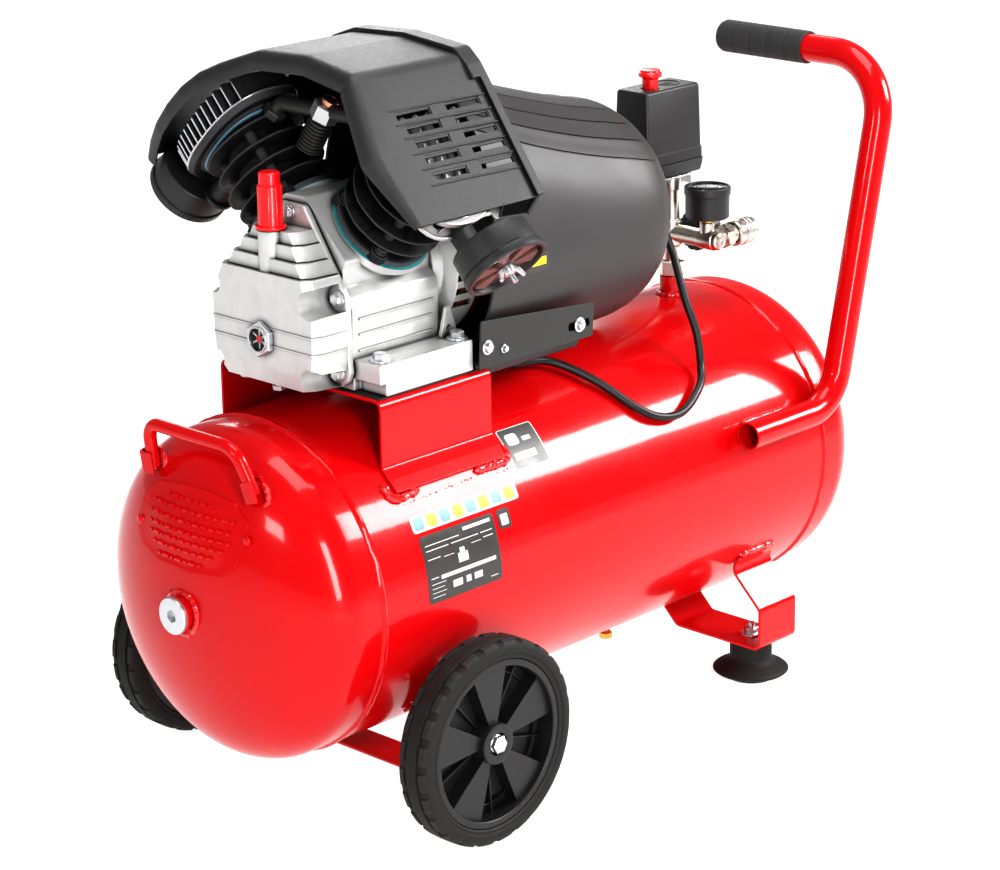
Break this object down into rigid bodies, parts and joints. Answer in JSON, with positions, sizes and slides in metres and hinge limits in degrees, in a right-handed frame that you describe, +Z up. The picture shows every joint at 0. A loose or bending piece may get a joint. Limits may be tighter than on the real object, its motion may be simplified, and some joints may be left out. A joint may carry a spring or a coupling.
{
  "type": "air compressor",
  "caption": "Wheeled air compressor: V-twin oiled pump and cowled motor on a horizontal red tank, with switch, gauge, outlet manifold and handles.",
  "frame": {"origin": "on the floor, under the middle of the bounding box", "axes": "+X from the wheel end to the handle end, along the tank; -Y is the side with the main handle; +Z up"},
  "size_m": [0.794, 0.438, 0.668],
  "materials": {
    "red_paint": "bright gloss red paint",
    "cast_aluminium": "as cast",
    "machined_steel": "machined",
    "zinc": "zinc plated",
    "nickel": "nickel plated",
    "brass": "bare brass",
    "copper": "bare copper",
    "black_paint": "satin black paint",
    "black_plastic": "textured black plastic",
    "rubber": "black rubber",
    "red_plastic": "gloss red plastic",
    "clear": "clear",
    "winding": "varnished windings"
  },
  "bodies": {
    "frame": {"tank": "red_paint", "front_plug": "zinc", "saddle_bracket": "red_paint", "axle_bracket": "red_paint", "near_foot_bracket": "red_paint", "far_foot_bracket": "red_paint", "near_foot": "rubber", "far_foot": "rubber", "main_handle": "red_paint", "handle_grip": "rubber", "carry_handle": "red_paint", "near_axle_bolt": "zinc", "far_axle_bolt": "zinc", "drain_valve": "brass", "crankcase": "cast_aluminium", "crankcase_cover": "cast_aluminium", "sight_glass": "nickel", "near_cylinder": "black_paint", "far_cylinder": "black_paint", "near_cylinder_head": "cast_aluminium", "far_cylinder_head": "cast_aluminium", "near_air_filter": "black_plastic", "far_air_filter": "black_plastic", "bridge_pipe": "copper", "check_valve": "brass", "pump_shroud": "black_plastic", "motor_cowl": "black_plastic", "cowl_plate": "black_paint", "motor_end_bell": "cast_aluminium", "motor_stator": "winding", "motor_cable": "rubber", "outlet_socket": "red_paint", "outlet_manifold": "nickel", "gauge_body": "black_plastic", "gauge_lens": "clear", "coupler_body": "nickel", "safety_valve": "brass", "switch_base": "black_plastic", "switch_cover": "black_plastic", "switch_contacts": "clear"},
    "near_wheel": {"near_wheel_rim": "black_plastic", "near_tyre": "rubber"},
    "far_wheel": {"far_wheel_rim": "black_plastic", "far_tyre": "rubber"},
    "crank": {"crankshaft": "machined_steel", "motor_rotor": "machined_steel", "cooling_fan": "black_plastic"},
    "near_piston": {"near_piston": "machined_steel"},
    "near_rod": {"near_con_rod": "cast_aluminium"},
    "far_piston": {"far_piston": "machined_steel"},
    "far_rod": {"far_con_rod": "cast_aluminium"},
    "switch_knob": {"switch_knob": "red_plastic"},
    "regulator_knob": {"regulator_knob": "black_plastic"},
    "gauge_needle": {"gauge_needle": "black_paint"},
    "coupler_sleeve": {"coupler_sleeve": "nickel"},
    "safety_ring": {"safety_valve_ring": "zinc"},
    "drain_screw": {"drain_screw": "brass"},
    "breather_plug": {"breather_plug": "red_plastic"},
    "near_wing_nut": {"near_wing_nut": "zinc"},
    "far_wing_nut": {"far_wing_nut": "zinc"}
  },
  "joints": [
    {"name": "near_wheel_spin", "type": "hinge", "parent": "frame", "child": "near_wheel", "pos_m": [-0.212, -0.1875, 0.092], "axis": [0, 1, 0], "continuous": true},
    {"name": "far_wheel_spin", "type": "hinge", "parent": "frame", "child": "far_wheel", "pos_m": [-0.212, 0.1875, 0.092], "axis": [0, 1, 0], "continuous": true},
    {"name": "crank_spin", "type": "hinge", "parent": "frame", "child": "crank", "pos_m": [-0.05, 0, 0.471], "axis": [1, 0, 0], "continuous": true},
    {"name": "near_piston_stroke", "type": "slide", "parent": "frame", "child": "near_piston", "axis": [0, -0.7071, 0.7071], "range_m": [-0.0217, 0.0043]},
    {"name": "far_piston_stroke", "type": "slide", "parent": "frame", "child": "far_piston", "axis": [0, 0.7071, 0.7071], "range_m": [-0.0217, 0.0043]},
    {"name": "near_rod_swing", "type": "hinge", "parent": "near_piston", "child": "near_rod", "pos_m": [-0.183, -0.06518, 0.53618], "axis": [1, 0, 0], "range_deg": [-15.28, 2.64]},
    {"name": "far_rod_swing", "type": "hinge", "parent": "far_piston", "child": "far_rod", "pos_m": [-0.195, 0.06518, 0.53618], "axis": [1, 0, 0], "range_deg": [-2.64, 15.28]},
    {"name": "switch_knob_pull", "type": "slide", "parent": "frame", "child": "switch_knob", "axis": [0, 0, 1], "range_m": [-0.008, 0]},
    {"name": "regulator_turn", "type": "hinge", "parent": "frame", "child": "regulator_knob", "pos_m": [0.2735, -0.015, 0.4215], "axis": [1, 0, 0], "range_deg": [-720, 720]},
    {"name": "gauge_needle_turn", "type": "hinge", "parent": "frame", "child": "gauge_needle", "pos_m": [0.2498, -0.045, 0.469], "axis": [0, 0, -1], "range_deg": [0, 270], "stiffness_Nm_per_rad": 0.00005},
    {"name": "coupler_sleeve_pull", "type": "slide", "parent": "frame", "child": "coupler_sleeve", "axis": [1, 0, 0], "range_m": [-0.005, 0], "stiffness_N_per_m": 300},
    {"name": "safety_ring_pull", "type": "slide", "parent": "frame", "child": "safety_ring", "axis": [0, 1, 0], "range_m": [0, 0.004], "stiffness_N_per_m": 800},
    {"name": "drain_screw_turn", "type": "hinge", "parent": "frame", "child": "drain_screw", "pos_m": [0.153, 0, 0.04], "axis": [0, 0, 1], "range_deg": [-720, 0]},
    {"name": "breather_plug_lift", "type": "slide", "parent": "frame", "child": "breather_plug", "axis": [0, 0, 1], "range_m": [0, 0.035]},
    {"name": "near_wing_nut_turn", "type": "hinge", "parent": "frame", "child": "near_wing_nut", "pos_m": [-0.183, -0.1953, 0.49914], "axis": [0, -0.7071, -0.7071], "range_deg": [-720, 720]},
    {"name": "far_wing_nut_turn", "type": "hinge", "parent": "frame", "child": "far_wing_nut", "pos_m": [-0.195, 0.1953, 0.51046], "axis": [0, 0.7071, -0.7071], "range_deg": [-720, 720]}
  ]
}
